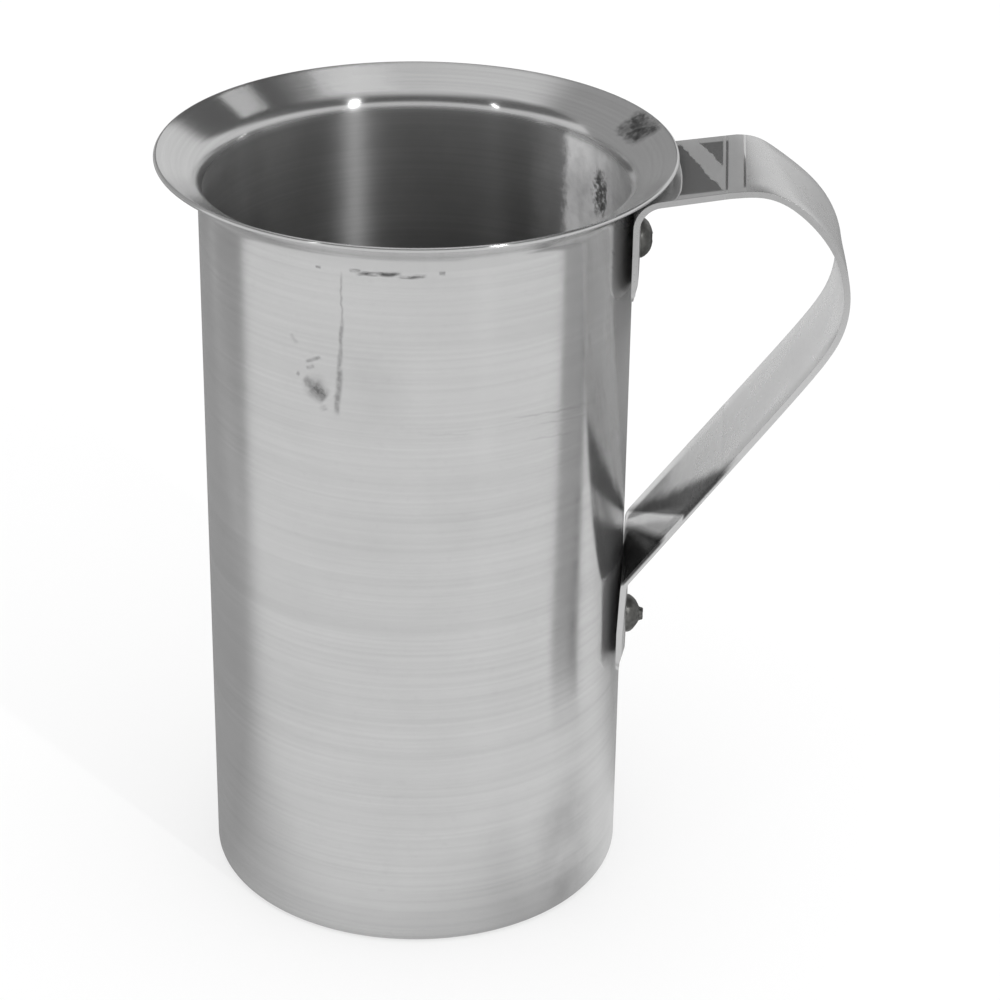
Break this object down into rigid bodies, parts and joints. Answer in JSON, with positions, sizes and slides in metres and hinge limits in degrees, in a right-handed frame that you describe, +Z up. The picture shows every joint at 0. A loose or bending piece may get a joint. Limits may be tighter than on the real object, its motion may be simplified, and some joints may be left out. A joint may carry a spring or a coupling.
{
  "type": "wine jug",
  "caption": "Tall straight-sided metal wine jug with an outward flared rim and a bent strap handle riveted to its side, for holding and pouring wine or water.",
  "frame": {"origin": "centre of the base's underside, on the axis of the vessel", "axes": "+Z up along the axis of the vessel, +X from the axis towards the handle, +Y across the handle's strap"},
  "size_m": [0.1433, 0.1074, 0.1655],
  "materials": {
    "vessel_metal": "satin polished, spun in fine rings, lightly scratched",
    "strap_metal": "rolled strip with a fine grain along it, polished over the top",
    "rivet_metal": "hammered and dulled"
  },
  "bodies": {
    "root": {"body_shell": "vessel_metal", "handle_strap": "strap_metal", "upper_rivet": "rivet_metal", "lower_rivet": "rivet_metal"}
  },
  "joints": []
}
